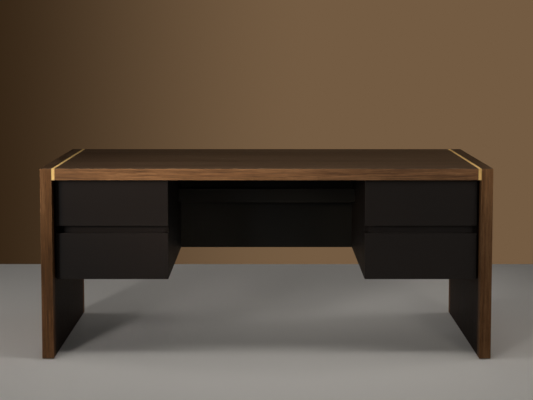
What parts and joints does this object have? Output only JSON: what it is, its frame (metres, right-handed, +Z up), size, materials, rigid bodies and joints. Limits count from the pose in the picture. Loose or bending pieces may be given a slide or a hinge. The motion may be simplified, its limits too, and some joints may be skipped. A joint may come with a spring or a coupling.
{
  "type": "executive desk",
  "caption": "Wide desk with walnut slab legs and top, brass strips at the joints, hung black pedestals of handle-less drawers on telescopic slides, modesty panel and cable tray.",
  "frame": {"origin": "on the floor under the middle of the desk", "axes": "+X to the right of a person at the desk, +Y from the drawer side to the modesty panel, +Z up"},
  "size_m": [1.78, 0.89, 0.762],
  "materials": {
    "walnut": "satin oil, straight grain",
    "black_lacquer": "satin black lacquer",
    "brass": "brushed",
    "birch": "clear lacquer",
    "slide_steel": "zinc plated",
    "screw_steel": "zinc plated",
    "glide_nylon": "moulded",
    "bumper_rubber": "soft moulded"
  },
  "bodies": {
    "desk": {"desktop": "walnut", "modesty_panel": "black_lacquer", "cable_tray_floor": "black_lacquer", "cable_tray_lip": "black_lacquer", "tray_pegs": "birch", "strip_dowels": "screw_steel", "modesty_pegs": "birch", "leg_screws": "screw_steel", "top_screws": "screw_steel", "leg_glides": "glide_nylon", "drawer_bumpers": "bumper_rubber", "left_leg": "walnut", "left_brass_strip": "brass", "left_pedestal_inner_side": "black_lacquer", "left_pedestal_outer_side": "black_lacquer", "left_pedestal_bottom": "black_lacquer", "left_pedestal_top": "black_lacquer", "left_finger_rail": "black_lacquer", "left_upper_cabinet_rails": "slide_steel", "left_lower_cabinet_rails": "slide_steel", "right_leg": "walnut", "right_brass_strip": "brass", "right_pedestal_inner_side": "black_lacquer", "right_pedestal_outer_side": "black_lacquer", "right_pedestal_bottom": "black_lacquer", "right_pedestal_top": "black_lacquer", "right_finger_rail": "black_lacquer", "right_upper_cabinet_rails": "slide_steel", "right_lower_cabinet_rails": "slide_steel"},
    "left_upper_drawer": {"left_upper_drawer_front": "black_lacquer", "left_upper_drawer_inner_wall": "birch", "left_upper_drawer_outer_wall": "birch", "left_upper_drawer_back": "birch", "left_upper_drawer_bottom": "birch", "left_upper_drawer_rails": "slide_steel"},
    "left_upper_slide": {"left_upper_middle_rails": "slide_steel"},
    "left_lower_drawer": {"left_lower_drawer_front": "black_lacquer", "left_lower_drawer_inner_wall": "birch", "left_lower_drawer_outer_wall": "birch", "left_lower_drawer_back": "birch", "left_lower_drawer_bottom": "birch", "left_lower_drawer_rails": "slide_steel"},
    "left_lower_slide": {"left_lower_middle_rails": "slide_steel"},
    "right_upper_drawer": {"right_upper_drawer_front": "black_lacquer", "right_upper_drawer_inner_wall": "birch", "right_upper_drawer_outer_wall": "birch", "right_upper_drawer_back": "birch", "right_upper_drawer_bottom": "birch", "right_upper_drawer_rails": "slide_steel"},
    "right_upper_slide": {"right_upper_middle_rails": "slide_steel"},
    "right_lower_drawer": {"right_lower_drawer_front": "black_lacquer", "right_lower_drawer_inner_wall": "birch", "right_lower_drawer_outer_wall": "birch", "right_lower_drawer_back": "birch", "right_lower_drawer_bottom": "birch", "right_lower_drawer_rails": "slide_steel"},
    "right_lower_slide": {"right_lower_middle_rails": "slide_steel"}
  },
  "joints": [
    {"name": "left_upper_drawer_slide", "type": "slide", "parent": "desk", "child": "left_upper_drawer", "axis": [0, -1, 0], "range_m": [0, 0.56]},
    {"name": "left_upper_middle_slide", "type": "slide", "parent": "desk", "child": "left_upper_slide", "axis": [0, -1, 0], "range_m": [0, 0.28]},
    {"name": "left_lower_drawer_slide", "type": "slide", "parent": "desk", "child": "left_lower_drawer", "axis": [0, -1, 0], "range_m": [0, 0.56]},
    {"name": "left_lower_middle_slide", "type": "slide", "parent": "desk", "child": "left_lower_slide", "axis": [0, -1, 0], "range_m": [0, 0.28]},
    {"name": "right_upper_drawer_slide", "type": "slide", "parent": "desk", "child": "right_upper_drawer", "axis": [0, -1, 0], "range_m": [0, 0.56]},
    {"name": "right_upper_middle_slide", "type": "slide", "parent": "desk", "child": "right_upper_slide", "axis": [0, -1, 0], "range_m": [0, 0.28]},
    {"name": "right_lower_drawer_slide", "type": "slide", "parent": "desk", "child": "right_lower_drawer", "axis": [0, -1, 0], "range_m": [0, 0.56]},
    {"name": "right_lower_middle_slide", "type": "slide", "parent": "desk", "child": "right_lower_slide", "axis": [0, -1, 0], "range_m": [0, 0.28]}
  ],
  "couplings": [
    {"joint": "left_upper_middle_slide", "follows": "left_upper_drawer_slide", "ratio": 0.5},
    {"joint": "left_lower_middle_slide", "follows": "left_lower_drawer_slide", "ratio": 0.5},
    {"joint": "right_upper_middle_slide", "follows": "right_upper_drawer_slide", "ratio": 0.5},
    {"joint": "right_lower_middle_slide", "follows": "right_lower_drawer_slide", "ratio": 0.5}
  ]
}
